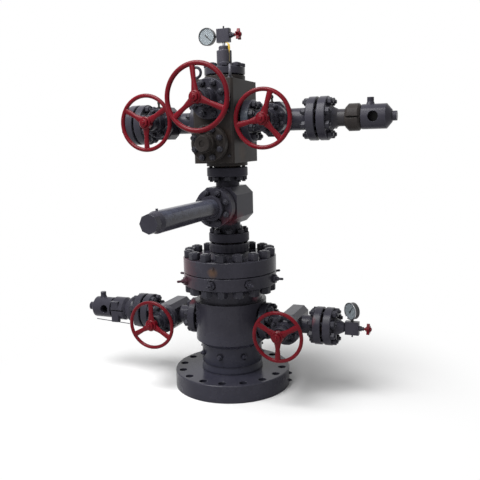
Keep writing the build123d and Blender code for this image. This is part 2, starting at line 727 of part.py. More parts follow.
pieces = {
    "tubing_head": tubing_head.part,
    "neck_plugs": neck_plugs.part,
    "lockdown_screws": lockdown_screws.part,
    "adapter_flange": adapter_flange.part,
    "ring_gaskets": ring_gaskets.part,
    "master_valve_body": master_valve_body.part,
    "master_bonnet": master_bonnet.part,
    "actuator_cylinder": actuator_cylinder.part,
    "actuator_nose": actuator_nose.part,
    "tree_block": tree_block.part,
    "block_lower_bonnet": block_lower_bonnet.part,
    "swab_bonnet": swab_bonnet.part,
    "swab_handwheel": swab_handwheel.part,
    "lifting_eye": lifting_eye.part,
    "tree_cap": tree_cap.part,
    "gauge_nipple": gauge_nipple.part,
    "top_needle_valve": top_needle_valve.part,
    "top_needle_handle": top_needle_handle.part,
    "top_gauge": top_gauge.part,
    "right_wing_valve": right_wing[0],
    "right_wing_bonnet": right_wing[1],
    "right_wing_handwheel": right_wing[2],
    "right_wing_hub_flange": right_wing_hub_flange.part,
    "right_wing_union": right_wing_union.part,
    "right_wing_end": right_wing_end.part,
    "left_wing_valve": left_wing[0],
    "left_wing_bonnet": left_wing[1],
    "left_wing_handwheel": left_wing[2],
    "left_wing_blind": left_wing_blind.part,
    "right_side_valve": right_side[0],
    "right_side_bonnet": right_side[1],
    "right_side_handwheel": right_side[2],
    "right_side_blind": right_side_blind.part,
    "side_needle_valve": side_needle_valve.part,
    "side_needle_handle": side_needle_handle.part,
    "side_gauge": side_gauge.part,
    "left_side_valve": left_side[0],
    "left_side_bonnet": left_side[1],
    "left_side_handwheel": left_side[2],
    "left_side_hub_flange": left_side_hub_flange.part,
    "left_side_union": left_side_union.part,
    "left_side_end": left_side_end.part,
}

os.makedirs("parts", exist_ok=True)
for name, piece in pieces.items():
    piece.label = name
    export_step(piece, f"parts/{name}.step")
print("wheel hubs", swab_centre, right_wing[3], left_wing[3], right_side[3], left_side[3])
print("block centres", top_block_centre, side_block_centre, "outlet", outlet_z, "wing", wing_z)
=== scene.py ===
import bpy
import numpy as np
from mathutils import Matrix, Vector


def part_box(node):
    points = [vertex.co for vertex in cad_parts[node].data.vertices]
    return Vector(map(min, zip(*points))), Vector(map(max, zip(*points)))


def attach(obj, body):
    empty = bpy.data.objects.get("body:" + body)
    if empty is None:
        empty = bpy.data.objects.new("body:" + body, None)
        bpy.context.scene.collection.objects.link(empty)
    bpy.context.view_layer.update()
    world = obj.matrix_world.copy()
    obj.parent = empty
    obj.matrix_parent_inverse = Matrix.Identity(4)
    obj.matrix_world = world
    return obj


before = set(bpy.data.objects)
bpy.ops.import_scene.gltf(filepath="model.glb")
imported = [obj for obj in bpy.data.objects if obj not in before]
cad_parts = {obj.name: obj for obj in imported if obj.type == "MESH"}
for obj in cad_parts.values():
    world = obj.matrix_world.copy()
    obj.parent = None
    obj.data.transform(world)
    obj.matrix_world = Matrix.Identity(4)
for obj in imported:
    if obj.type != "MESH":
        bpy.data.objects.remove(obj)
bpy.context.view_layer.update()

# Tubing head
# The forged steel head that the whole tree stands on, with its open-holed base flange. It is
# machined all over, primed and sprayed with anthracite enamel; years outdoors have left dust on
# the ledges and pale wear on the edges. Painted shade darkens its corners, and the pale edges are
# partly a painted highlight.


def linear(colour):
    """An sRGB hex colour as linear light, by the sRGB curve, with full opacity."""
    rgb = np.array([int(colour[k:k + 2], 16) for k in (1, 3, 5)]) / 255
    rgb = np.where(rgb > 0.04045, ((rgb + 0.055) / 1.055) ** 2.4, rgb / 12.92)
    return (*rgb.tolist(), 1.0)


def add(tree, kind, inputs=None, **settings):
    """Add a node with its settings. Each input is a value, or another node's output to link, and
    is named, or numbered where names repeat: a Map Range takes the value, the two ends that it
    comes from and the two that it goes to, a Mix its share at 0 and its colours at 6 and 7."""
    made = tree.nodes.new("ShaderNode" + kind)
    for name, value in settings.items():
        setattr(made, name, value)
    for name, value in (inputs or {}).items():
        if isinstance(value, bpy.types.NodeSocket):
            tree.links.new(value, made.inputs[name])
        else:
            made.inputs[name].default_value = value
    return made


PATCH_MM, SPECK_MM = 150, 12
SHUT_IN_SHADE = "#141214"


def enamel(name, coat, shade, dust, edge_colour, specular, gloss, grain_mm, keen_mm, stains_and_painted_light=()):
    """Sprayed enamel on steel: two tones in patches, dust where the surface faces up, painted shade
    where it is shut in, another tone on its open edges, as wear and, where that tone is pale, a
    painted highlight, and stains and painted light given as stains_and_painted_light, each
    (colour, centre in mm, radius in mm, strength). The coat's orange peel is grain_mm across,
    coarser than the real 1 to 3 mm so that it shows, and an edge's radius is keen_mm."""
    material = bpy.data.materials.new(name)
    material.use_nodes = True
    tree = material.node_tree
    tree.nodes.clear()
    place = add(tree, "TexCoord").outputs
    patches = add(tree, "TexNoise", {"Vector": place["Object"], "Scale": 1000 / PATCH_MM, "Detail": 4.0,
                                     "Roughness": 0.65}).outputs["Fac"]
    specks = add(tree, "TexNoise", {"Vector": place["Object"], "Scale": 1000 / SPECK_MM, "Detail": 2.0,
                                    "Roughness": 0.6}).outputs["Fac"]
    patchy = add(tree, "MapRange", {0: patches, 1: 0.36, 2: 0.66}).outputs[0]
    colour = add(tree, "Mix", {0: patchy, 6: linear(coat), 7: linear(shade)}, data_type="RGBA").outputs[2]
    # Each stain or painted light fades from its middle to its radius, with an edge that the specks break up.
    for tint, centre, radius, strength in stains_and_painted_light:
        middle = tuple(c / 1000 for c in centre)
        near = add(tree, "VectorMath", {0: place["Object"], 1: middle}, operation="DISTANCE").outputs["Value"]
        broken = add(tree, "Math", {0: near, 1: 1.2 * radius / 1000}, operation="DIVIDE").outputs[0]
        ragged = add(tree, "Math", {0: specks, 1: 0.5, 2: broken}, operation="MULTIPLY_ADD").outputs[0]
        much = add(tree, "MapRange", {0: ragged, 1: 1.05, 2: 0.55, 3: 0.0, 4: strength}).outputs[0]
        colour = add(tree, "Mix", {0: much, 6: colour, 7: linear(tint)}, data_type="RGBA").outputs[2]
    # Dust lies thinly where the surface faces up.
    up = add(tree, "SeparateXYZ", {0: place["Normal"]}).outputs["Z"]
    laid = add(tree, "MapRange", {0: up, 1: 0.55, 2: 0.98}).outputs[0]
    thin = add(tree, "MapRange", {0: specks, 1: 0.25, 2: 0.75, 3: 0.05, 4: 0.35}).outputs[0]
    dusty = add(tree, "Math", {0: laid, 1: thin}, operation="MULTIPLY").outputs[0]
    colour = add(tree, "Mix", {0: dusty, 6: colour, 7: linear(dust)}, data_type="RGBA").outputs[2]
    # Painted shade: the colour darkens towards near black where less than about three quarters of the
    # air within 30 mm is open.
    shut = add(tree, "AmbientOcclusion", {"Distance": 0.03}, samples=4).outputs["AO"]
    painted_corner_shade = add(tree, "MapRange", {0: shut, 1: 0.75, 2: 0.25, 3: 0.0, 4: 0.5}).outputs[0]
    colour = add(tree, "Mix", {0: painted_corner_shade, 6: colour, 7: linear(SHUT_IN_SHADE)}, data_type="RGBA").outputs[2]
    # An edge is where the rounded normal turns from the flat one. Open edges take the edge colour:
    # wear, and where that colour is pale, a painted highlight along the edge.
    rounded = add(tree, "Bevel", {"Radius": keen_mm / 1000}, samples=4).outputs["Normal"]
    flat = add(tree, "NewGeometry").outputs["Normal"]
    same = add(tree, "VectorMath", {0: rounded, 1: flat}, operation="DOT_PRODUCT").outputs["Value"]
    keen = add(tree, "MapRange", {0: same, 1: 0.97, 2: 0.80}).outputs[0]
    open_air = add(tree, "MapRange", {0: shut, 1: 0.80, 2: 0.95}).outputs[0]
    edge_breakup = add(tree, "MapRange", {0: specks, 1: 0.35, 2: 0.60, 3: 0.15, 4: 0.75}).outputs[0]
    edge = add(tree, "Math", {0: keen, 1: open_air}, operation="MULTIPLY").outputs[0]
    edge_share = add(tree, "Math", {0: edge, 1: edge_breakup}, operation="MULTIPLY").outputs[0]
    colour = add(tree, "Mix", {0: edge_share, 6: colour, 7: linear(edge_colour)}, data_type="RGBA").outputs[2]
    # The gloss differs from patch to patch, and the coat has an orange peel.
    matt = add(tree, "MapRange", {0: patches, 1: 0.3, 2: 0.7, 3: gloss, 4: gloss + 0.12}).outputs[0]
    rough = add(tree, "Math", {0: laid, 1: -0.1, 2: matt}, operation="MULTIPLY_ADD").outputs[0]
    grain = add(tree, "TexNoise", {"Vector": place["Object"], "Scale": 1000 / grain_mm, "Detail": 2.0})
    bump = add(tree, "Bump", {"Strength": 0.08, "Distance": 0.0004, "Height": grain.outputs["Fac"],
                              "Normal": rounded}).outputs["Normal"]
    shader = add(tree, "BsdfPrincipled", {"Base Color": colour, "Roughness": rough, "Normal": bump,
                                          "Specular IOR Level": specular})
    add(tree, "OutputMaterial", {"Surface": shader.outputs[0]})
    return material


def dress(material, *nodes):
    """Give CAD nodes a material."""
    for name in nodes:
        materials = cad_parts[name].data.materials
        materials.clear()
        materials.append(material)


# Two-pack enamel sprayed over primer: it gives the eye a dark, faintly blue grey with a soft
# sheen, lighter where dust lies and along rubbed edges, whose paleness is partly a painted
# highlight. Its marks are rust below the test plug, red overspray from the wheels that is partly
# a painted reflection of them, a painted pink highlight on the neck's right, a fresher and bluer
# base, a painted sky reflection on the right wing's inner flange, painted light on the cap,
# painted shade inside the two ports, and the right wing's pipe in the block's olive.
RUST = "#5a4434"
RED_OVERSPRAY_AND_REFLECTION = "#7a1c26"
PAINTED_PINK_HIGHLIGHT = "#8a4656"
PAINTED_BORE_SHADE = "#08080a"
OLIVE = "#322f2b"
BLUER = "#2b2d3d"
PAINTED_SKY_REFLECTION = "#4d5762"
PAINTED_LIGHT_ON_CAP = "#4c4a51"
grey_enamel = enamel(
    "sprayed_anthracite_enamel", coat="#2c2b33", shade="#34333b", dust="#474650", edge_colour="#5f6068",
    specular=0.12, gloss=0.20, grain_mm=9, keen_mm=4, stains_and_painted_light=[
        (RUST, (9, -268, 713), 36, 0.75),
        # Red overspray from the wheels, partly a painted reflection of them.
        (RED_OVERSPRAY_AND_REFLECTION, (-240, -130, 690), 210, 0.22),
        # A painted reflection of the sky on the right wing's inner flange, beside the block.
        (PAINTED_SKY_REFLECTION, (165, -95, 1540), 60, 0.45),
        (BLUER, (0, 0, 20), 420, 0.6),
        # A painted pink highlight on the upper neck's right.
        (PAINTED_PINK_HIGHLIGHT, (178, -50, 548), 42, 0.55),
        # More red overspray, partly a painted reflection of the wheels nearby.
        (RED_OVERSPRAY_AND_REFLECTION, (-230, -50, 498), 40, 0.5),
        (RED_OVERSPRAY_AND_REFLECTION, (-265, -60, 640), 90, 0.22),
        (RED_OVERSPRAY_AND_REFLECTION, (500, -90, 440), 40, 0.35),
        # Painted shade: near black inside the two open ports.
        (PAINTED_BORE_SHADE, (829, -18, 1524), 46, 1.0),
        (PAINTED_BORE_SHADE, (-845, -18, 391), 46, 1.0),
        (OLIVE, (664, 0, 1524), 75, 0.8),
        # Painted light: the cap made paler, as light from above and in front shows it.
        (PAINTED_LIGHT_ON_CAP, (0, -40, 1890), 95, 0.35),
    ])
dress(grey_enamel, "tubing_head")


def facing(axis):
    """A frame as three columns, side, up and axis, square to each other: side is the well's own
    direction crossed with axis, and up is axis crossed with side."""
    axis = np.array(axis, float)
    side = np.cross((0, 0, 1) if abs(axis[2]) < 0.9 else (1, 0, 0), axis)
    side /= np.linalg.norm(side)
    return np.stack([side, np.cross(axis, side), axis], -1)


def turned(profile, around=12, flats=None):
    """A closed shape about z: each (height, radius) of the profile is a ring of points, held
    inside a hexagon where flats are given, by radius = half the flats / cos(angle from flat)."""
    height, radius = np.array(profile, float).T[:, :, None]
    turn = np.arange(around) * 2 * np.pi / around
    reach = np.broadcast_to(radius, (len(profile), around))
    if flats:
        from_flat = (turn + np.pi / 6) % (np.pi / 3) - np.pi / 6
        reach = np.minimum(reach, flats / 2 / np.cos(from_flat))
    level = np.broadcast_to(height, reach.shape)
    grid = np.stack([reach * np.cos(turn), reach * np.sin(turn), level], -1)
    index = np.arange(level.size).reshape(level.shape)
    low, high = index[:-1], index[1:]
    quads = np.stack([low, np.roll(low, -1, 1), np.roll(high, -1, 1), high], -1).reshape(-1, 4)
    return grid.reshape(-1, 3), quads.tolist() + [index[0, ::-1].tolist(), index[-1].tolist()]


def together(*shapes):
    """Several shapes as one, each one's faces counted on from the points before it."""
    starts = np.cumsum([0] + [len(points) for points, _ in shapes]).tolist()
    faces = [[i + start for i in face] for (_, own), start in zip(shapes, starts) for face in own]
    return np.concatenate([points for points, _ in shapes]), faces


def stamp(shape, origins, frames):
    """Copies of a shape at many places at once: each point becomes origin + frame . point."""
    points, faces = shape
    made = origins[:, None] + np.einsum("kij,vj->kvi", frames, points)
    starts = len(points) * np.arange(len(origins))
    return made.reshape(-1, 3), [[i + start for i in face] for start in starts.tolist() for face in faces]


def at(start, axis):
    """One place, for stamp: a point in millimetres and the frame that faces along axis."""
    return np.array([start], float), facing(axis)[None]


def piece(name, shape, material, body="stack"):
    """A mesh from a shape in millimetres, riding on a CAD body. It is smooth but for the edges
    that turn by more than 35 degrees."""
    points, faces = shape
    mesh = bpy.data.meshes.new(name)
    mesh.from_pydata((points / 1000).tolist(), [], faces)
    mesh.polygons.foreach_set("use_smooth", [True] * len(faces))
    mesh.set_sharp_from_angle(angle=np.radians(35))
    mesh.materials.append(material)
    made = bpy.data.objects.new(name, mesh)
    bpy.context.scene.collection.objects.link(made)
    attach(made, body)


# Two pipe plugs with hexagon heads, screwed into the base flange's rim. Each stands at an angle
# round the well, in radians, and at a height.
BASE_RADIUS = 336.5
rim_plug = together(turned([(-2, 9), (5, 9), (7, 7.5)], 16), turned([(7, 6), (14, 6), (15, 5)], 12, 11))
rim_plugs = []
for turn, height in ((0.30, 52), (0.21, 20)):
    outwards = np.array([np.cos(turn), np.sin(turn), 0])
    rim_plugs.append(stamp(rim_plug, *at(BASE_RADIUS * outwards + (0, 0, height), outwards)))
piece("base_rim_plugs", together(*rim_plugs), grey_enamel)

# Plugs and lockdown screws round the head
# Eight steel plugs in the neck and eight lockdown screws in the flange, threaded into the head
# and painted over with it. Each plug has a hexagon to turn it by.
dress(grey_enamel, "neck_plugs", "lockdown_screws")
UP, DOWN, FRONT, BACK = (0, 0, 1), (0, 0, -1), (0, -1, 0), (0, 1, 0)
RIGHT, LEFT = (1, 0, 0), (-1, 0, 0)


def bolt_circle(start, axis, radius, count=8, first=22.5):
    """Places round an axis: origin = start + radius . (cos a . side + sin a . up), each frame
    turned by a so that a nut's flat faces outwards. The first a is in degrees."""
    side, up, along = facing(axis).T
    angle = np.radians(first + 360 / count * np.arange(count))[:, None]
    out = np.cos(angle) * side + np.sin(angle) * up
    across = np.cos(angle) * up - np.sin(angle) * side
    return start + radius * out, np.stack([out, across, np.broadcast_to(along, out.shape)], -1)


PLUG_HEIGHT, PLUG_FACE = 206, 190.5
plug_hexagon = turned([(0, 9), (7, 9), (9, 7.5)], 12, 15)
plug_points, plug_frames = bolt_circle((0, 0, PLUG_HEIGHT), UP, PLUG_FACE, first=0)
# The frames' columns are passed on by one, so that the plugs' own axis points out of the neck.
outward = np.stack([plug_frames[..., 1], plug_frames[..., 2], plug_frames[..., 0]], -1)
piece("neck_plug_hexagons", stamp(plug_hexagon, plug_points, outward), grey_enamel)

# Studs of the head flange
# Sixteen alloy studs of 35 mm with a heavy hexagon nut at each end draw the adapter down on the
# head. They are screwed up by hand and painted in place, and spanners have rubbed their corners,
# whose paleness is partly a painted highlight.

# Brushed enamel over phosphated steel: near black with a dull shine, and bright at the corners,
# partly as wear and partly as a painted highlight.
# The second lifting eye, which wears it too, is chalked pale.
CHALKED_EYE = "#76767e"
nut_enamel = enamel(
    "brushed_enamel_on_nuts", coat="#26262d", shade="#302f37", dust="#484850", edge_colour="#7d7e84",
    specular=0.15, gloss=0.34, grain_mm=7, keen_mm=3, stains_and_painted_light=[(CHALKED_EYE, (99, -162, 1785), 62, 0.8)])


def nut(flats, height, start=0.0, around=12):
    """A hexagon nut. Each end is a circle of 0.95 of the flats, from which a cone at 30 degrees
    reaches the flats after 0.0144 of them and the corners after 0.059."""
    end, past_corners = 0.475 * flats, 0.6 * flats
    first, last = 0.0144 * flats, 0.059 * flats
    return turned([(start, end), (start + first, flats / 2), (start + last, past_corners),
                   (start + height - last, past_corners), (start + height - first, flats / 2),
                   (start + height, end)], around, flats)


RIDGE_STEP, RIDGE_DEPTH = 2, 1.8


def thread(low, high, radius):
    """A thread as ridges: root and crest by turns about every 2 mm, coarser than the real 1.6 mm
    so that it shows. Their number is odd, so it starts and ends on a root."""
    heights = np.linspace(low, high, max(3, int((high - low) / RIDGE_STEP) | 1))
    return [(h, radius if k % 2 else radius - RIDGE_DEPTH) for k, h in enumerate(heights)]


def stud(radius, flats, length, gap=None, both=True, around=12, high=None, proud=None):
    """A stud along z. Its first nut lies below 0, and the second above length where there are
    both. It is threaded where it shows: past the nuts and across the gap. The nuts are as high
    as the stud is thick, and it stands proud by 0.8 of its radius, unless they are given."""
    high, proud = high or 2 * radius, proud or 0.8 * radius
    profile = thread(-high - proud, -high, radius)
    if gap:
        profile += [(gap[0] - 1, radius)] + thread(*gap, radius) + [(gap[1] + 1, radius)]
    shapes = [nut(flats, high, -high, around)]
    if both:
        profile += thread(length + high, length + high + proud, radius)
        shapes.append(nut(flats, high, length, around))
    else:
        profile.append((length, radius))
    return together(turned(profile), *shapes)


HEAD_FLANGE_BASE, HEAD_GRIP, HEAD_CIRCLE = 605, 162, 235
head_stud = stud(17.5, 55.6, HEAD_GRIP, around=24, high=40, proud=4)
head_places = bolt_circle((0, 0, HEAD_FLANGE_BASE), UP, HEAD_CIRCLE, count=16, first=11.25)
piece("head_flange_studs", stamp(head_stud, *head_places), nut_enamel)

# Adapter
# A forged double-studded adapter, thick flange below and small flange above, one piece. A small
# test plug sits in its rim. Painted as the head is.
dress(grey_enamel, "adapter_flange")
TEST_PLUG_PLACE, TEST_PLUG_WAY = (12, -268, 734), (0.045, -0.999, 0)
test_plug = together(turned([(-3, 8), (4, 8), (5, 7)], 16), turned([(5, 6), (10, 6), (11, 5)], 12, 10))
piece("adapter_test_plug", stamp(test_plug, *at(TEST_PLUG_PLACE, TEST_PLUG_WAY)), grey_enamel)

# Lower master valve and actuator
# A cast gate valve with a bolted bonnet, which carries the long tube of a piston actuator. The
# casting is a little rough, the tube smoother. Studs and nuts join its flanges to what is below
# and above.

# Enamel chalked by the sun on a sand-cast surface: the same grey, but it throws back less of its
# surroundings, and red overspray has dried on its lower right.
DRAB_RED = "#591c24"
chalked_enamel = enamel(
    "chalked_anthracite_enamel", coat="#2e2d35", shade="#36353d", dust="#474650", edge_colour="#5f6068",
    specular=0.06, gloss=0.30, grain_mm=9, keen_mm=4, stains_and_painted_light=[
        (DRAB_RED, (92, -175, 985), 80, 0.6),
        (DRAB_RED, (112, -90, 970), 70, 0.55),
    ])
# Enamel on a ground tube: it lies smoother and shines more, and has a painted highlight along its
# upper right, drawn as a row of stains.
PAINTED_HIGHLIGHT_BAND = "#6f7589"
glossy_enamel = enamel(
    "glossy_anthracite_enamel", coat="#2c2b33", shade="#34333b", dust="#5a5c66", edge_colour="#6a6b74",
    specular=0.14, gloss=0.16, grain_mm=14, keen_mm=4,
    stains_and_painted_light=[(PAINTED_HIGHLIGHT_BAND, (85, y, 1140), 95, 0.5) for y in range(-800, -259, 90)])
dress(chalked_enamel, "master_valve_body", "master_bonnet")
dress(glossy_enamel, "actuator_cylinder")
dress(grey_enamel, "actuator_nose")
# The run's studs by radius, their nuts by flats and their bolt circle, the same in all its joints
# but the cap's, whose studs are thicker. Then the height at which each joint's studs start.
RUN_STUD, RUN_NUT, RUN_CIRCLE = 11.1, 36.5, 92.1
ADAPTER_JOINT, BLOCK_JOINT = 792, 1222
MASTER_STUD, MASTER_NUT, MASTER_CIRCLE, MASTER_FACE = 9.5, 30, 86, (0, -213, 1062)
through_stud = stud(RUN_STUD, RUN_NUT, 110, (51, 59))
piece("adapter_joint_studs", stamp(through_stud, *bolt_circle((0, 0, ADAPTER_JOINT), UP, RUN_CIRCLE)),
      nut_enamel)
tapped_stud = stud(RUN_STUD, RUN_NUT, 62, (51, 59), both=False)
piece("block_joint_studs", stamp(tapped_stud, *bolt_circle((0, 0, BLOCK_JOINT), UP, RUN_CIRCLE)),
      nut_enamel)
master_stud = stud(MASTER_STUD, MASTER_NUT, 20, both=False)
piece("master_bonnet_nuts", stamp(master_stud, *bolt_circle(MASTER_FACE, BACK, MASTER_CIRCLE)),
      nut_enamel)

# Tree block
# One forged steel block bored crosswise for the two wings, with round stubs milled on its top
# and bottom. Its enamel is an older, browner batch than the rest. Small fittings are screwed in.

# Enamel weathered to olive: a warm, matt near-black, darkened on the right face by painted shade
# and lightly rusted on the front.
PAINTED_RIGHT_FACE_SHADE = "#1b1718"
block_enamel = enamel(
    "weathered_olive_enamel", coat="#2c2929", shade="#35312f", dust="#454240", edge_colour="#5f5c59",
    specular=0.06, gloss=0.34, grain_mm=9, keen_mm=5, stains_and_painted_light=[
        # Painted shade darkening the block's right face.
        (PAINTED_RIGHT_FACE_SHADE, (330, 0, 1450), 300, 0.8),
        (RUST, (60, -182, 1440), 60, 0.2),
        (RUST, (118, -60, 1360), 70, 0.25),
        (RUST, (-60, -182, 1700), 70, 0.2),
    ])
dress(block_enamel, "tree_block")
FITTING_PLACE, PLUG_PLACES = (-118, -110, 1352), [(92, -182, 1578), (92, -182, 1340)]
fitting = together(turned([(-2, 10), (8, 10), (9, 9)], 12, 18),
                   turned([(9, 6.5), (20, 6.5), (22, 8), (28, 8), (31, 5)], 16))
small_plug = together(turned([(-2, 8), (5, 8), (6, 7)], 16), turned([(6, 6), (12, 6), (13, 5)], 12, 10))
small_plugs = [stamp(small_plug, *at(place, FRONT)) for place in PLUG_PLACES]
piece("block_fittings", together(stamp(fitting, *at(FITTING_PLACE, LEFT)), *small_plugs),
      nut_enamel)
dress(grey_enamel, "lifting_eye")


def ring(section, around):
    """A closed ring: a section of (height, radius) points carried round z and joined on itself."""
    height, radius = np.array(section, float).T[:, :, None]
    turn = np.arange(around) * 2 * np.pi / around
    level = np.broadcast_to(height, (len(section), around))
    grid = np.stack([radius * np.cos(turn), radius * np.sin(turn), level], -1)
    index = np.arange(level.size).reshape(level.shape)
    after = np.roll(index, -1, 0)
    quads = np.stack([index, after, np.roll(after, -1, 1), np.roll(index, -1, 1)], -1).reshape(-1, 4)
    return grid.reshape(-1, 3), quads.tolist()


# The second lifting eye, at the block's front right corner, nearly edge on from the front. Its
# ring is a circle of 6.5 mm radius carried round one of 28.5 mm.
EYE_X, EYE_Y, EYE_MIDDLE, EYE_SEAT = 99, -162, 1784.5, 1747
EYE_WAY = (0.922, 0.388, 0)
BEAD, EYE_RADIUS = 6.5, 28.5
bead_turn = np.linspace(0, -2 * np.pi, 12, endpoint=False)
bead = np.stack([BEAD * np.sin(bead_turn), EYE_RADIUS + BEAD * np.cos(bead_turn)], -1)
eye_foot = turned([(-1, 13), (6, 13), (9, 7.5), (14, 7.5)], 20)
piece("second_lifting_eye", together(stamp(ring(bead, 36), *at((EYE_X, EYE_Y, EYE_MIDDLE), EYE_WAY)),
                                     stamp(eye_foot, *at((EYE_X, EYE_Y, EYE_SEAT), UP))),
      nut_enamel)

# Bonnets
# Round forged covers, each held on its valve by eight studs and hexagon nuts. On top of each
# wing bonnet stands a grease fitting of dark plated steel.
dress(block_enamel, "block_lower_bonnet")
dress(grey_enamel, "swab_bonnet", "right_wing_bonnet", "left_wing_bonnet",
      "right_side_bonnet", "left_side_bonnet")
# Where each valve's stem stands, across the well and up it.
WING_HEIGHT, SIDE_HEIGHT = 1524, 391
stems = {
    "swab": (0, 1641), "lower": (0, 1407),
    "right_wing": (331, WING_HEIGHT), "left_wing": (-331, WING_HEIGHT),
    "right_side": (378.5, SIDE_HEIGHT), "left_side": (-378.5, SIDE_HEIGHT),
}
# Each bonnet's face, bolt circle, stud radius and nut flats.
bonnets = [
    ("swab", -231, 84, 9.5, 31), ("lower", -255, 78, 9.5, 29),
    ("right_wing", -189, 67, 7, 22), ("left_wing", -189, 67, 7, 22),
    ("right_side", -151, 69, 7, 23), ("left_side", -151, 69, 7, 23),
]
for name, face, circle, radius, flats in bonnets:
    x, z = stems[name]
    bonnet_stud = stud(radius, flats, 15, both=False)
    piece(name + "_bonnet_nuts", stamp(bonnet_stud, *bolt_circle((x, face, z), BACK, circle)),
          nut_enamel)
GREASE_Y, GREASE_ABOVE = -166, 79
grease = together(turned([(-3, 9), (10, 9), (12, 8)], 12, 17),
                  turned([(12, 6), (26, 6), (28, 8.5), (38, 8.5), (44, 4)], 16))
for name in ("right_wing", "left_wing"):
    x, z = stems[name]
    piece(name + "_grease_fitting", stamp(grease, *at((x, GREASE_Y, z + GREASE_ABOVE), UP)),
          block_enamel)

# Handwheels
# Cast iron wheels with three waisted spokes, dipped in red enamel, thick and glossy on the rim
# and darker where hands have worn it. A painted nut holds each on its drive sleeve.

# Dipped enamel on cast iron: a deep red with a wet shine and slow waves where it ran.
red_enamel = enamel(
    "dipped_red_enamel", coat="#620916", shade="#530712", dust="#67131e", edge_colour="#460910",
    specular=0.12, gloss=0.20, grain_mm=25, keen_mm=3)
HUB_HALF = 18.5
wheel_nut = together(nut(43, 12, around=24), turned([(12, 9), (17, 9), (19, 7)], 16))
hubs = (("swab", -383), ("right_wing", -316), ("left_wing", -316), ("right_side", -278), ("left_side", -278))
for name, y in hubs:
    dress(red_enamel, name + "_handwheel")
    x, z = stems[name]
    piece(name + "_wheel_nut", stamp(wheel_nut, *at((x, y - HUB_HALF, z), FRONT)),
          red_enamel, name + "_wheel")
dress(red_enamel, "top_needle_handle", "side_needle_handle")
# The domed bosses on both faces of the needle valves' stars: each is an arc that rises 11 mm over
# a radius of 14. The stars stand to the right of their valves' blocks.
BOSS_RISE, BOSS_RADIUS = 11, 14
STAR_INNER, STAR_OUTER = 80, 96
needle_blocks = {"top_needle": (0, 1991.5), "side_needle": (716, SIDE_HEIGHT)}
dome = np.radians([0, 20, 40, 60, 80])
boss = turned([(-0.5, BOSS_RADIUS), *zip(BOSS_RISE * np.sin(dome), BOSS_RADIUS * np.cos(dome))], 24)
for name, (x, z) in needle_blocks.items():
    both_bosses = together(stamp(boss, *at((x + STAR_OUTER, 0, z), RIGHT)),
                           stamp(boss, *at((x + STAR_INNER, 0, z), LEFT)))
    piece(name + "_handle_boss", both_bosses, red_enamel, name)

# Cap, needle valves and gauges
# A turned cap closes the tree, held by eight studs. A bright nipple carries a forged needle
# valve, and the valve a pressure gauge: a lacquered case, a pale enamelled dial and a glass.
dress(grey_enamel, "tree_cap", "top_needle_valve", "side_needle_valve")
CAP_SEAT = 1820
cap_stud = stud(12.7, 45, 62, (42, 48), both=False, high=19, proud=3)
piece("cap_studs", stamp(cap_stud, *bolt_circle((0, 0, CAP_SEAT), DOWN, RUN_CIRCLE)),
      nut_enamel)


def plain(name, colour, rough, metallic, mottle, scale_mm, amount, faded=None):
    """A finish of one colour broken by a second in a noise of the given grain. Where faded gives
    two heights in metres, the second colour takes over between them."""
    material = bpy.data.materials.new(name)
    material.use_nodes = True
    tree = material.node_tree
    tree.nodes.clear()
    where = add(tree, "TexCoord").outputs["Object"]
    noise = add(tree, "TexNoise", {"Vector": where, "Scale": 1000 / scale_mm, "Detail": 3.0}).outputs["Fac"]
    share = add(tree, "MapRange", {0: noise, 1: 0.4, 2: 0.7, 3: 0.0, 4: amount}).outputs[0]
    if faded:
        height = add(tree, "SeparateXYZ", {0: where}).outputs["Z"]
        below = add(tree, "MapRange", {0: height, 1: faded[0], 2: faded[1]}).outputs[0]
        share = add(tree, "Math", {0: share, 1: below}, operation="MAXIMUM").outputs[0]
    mixed = add(tree, "Mix", {0: share, 6: linear(colour), 7: linear(mottle)}, data_type="RGBA").outputs[2]
    dull = add(tree, "MapRange", {0: noise, 1: 0.3, 2: 0.7, 3: rough, 4: rough + 0.12}).outputs[0]
    shader = add(tree, "BsdfPrincipled", {"Base Color": mixed, "Roughness": dull, "Metallic": metallic})
    add(tree, "OutputMaterial", {"Surface": shader.outputs[0]})
    return material


# Turned carbon steel, bright zinc plated: it gives the eye pale metal with a dull bloom.
zinc_plate = plain("zinc_plated_turned_steel", "#9a9ca0", rough=0.35, metallic=1.0, mottle="#5c5850",
                   scale_mm=6, amount=0.4)
dress(zinc_plate, "gauge_nipple")
# Soft iron rings, rusted where they show in the joints.
soft_iron = plain("rusted_soft_iron", "#2b2624", rough=0.65, metallic=0.6, mottle="#5a3624",
                  scale_mm=9, amount=0.6)
dress(soft_iron, "ring_gaskets")
# Pressed steel cases, stoved black: near black, with a shine on the rim.
case_lacquer = plain("stoved_black_lacquer", "#1c1d20", rough=0.25, metallic=0.0, mottle="#2f3034",
                     scale_mm=12, amount=0.3)
dress(case_lacquer, "top_gauge", "side_gauge")
# The dials' enamel, greyed by the sun, and its screen-printed marks, faded almost into it.
dial_enamel = plain("stoved_pale_dial_enamel", "#727a7f", rough=0.5, metallic=0.0, mottle="#6b7378",
                    scale_mm=30, amount=0.5)
dial_ink = plain("faded_printing_ink", "#50575c", rough=0.5, metallic=0.0, mottle="#484f54",
                 scale_mm=3, amount=0.4)
# The hands: stamped brass, lacquered black, the darkest thing on the dial.
hand_lacquer = plain("black_lacquered_brass", "#0e0f12", rough=0.4, metallic=0.0, mottle="#1c1d21",
                     scale_mm=3, amount=0.4)
# The side gauge's bezel: rolled steel, polished, bright with a few dull smears.
bezel_steel = plain("polished_bezel_steel", "#b4b6ba", rough=0.18, metallic=1.0, mottle="#7d7f84",
                    scale_mm=10, amount=0.3)
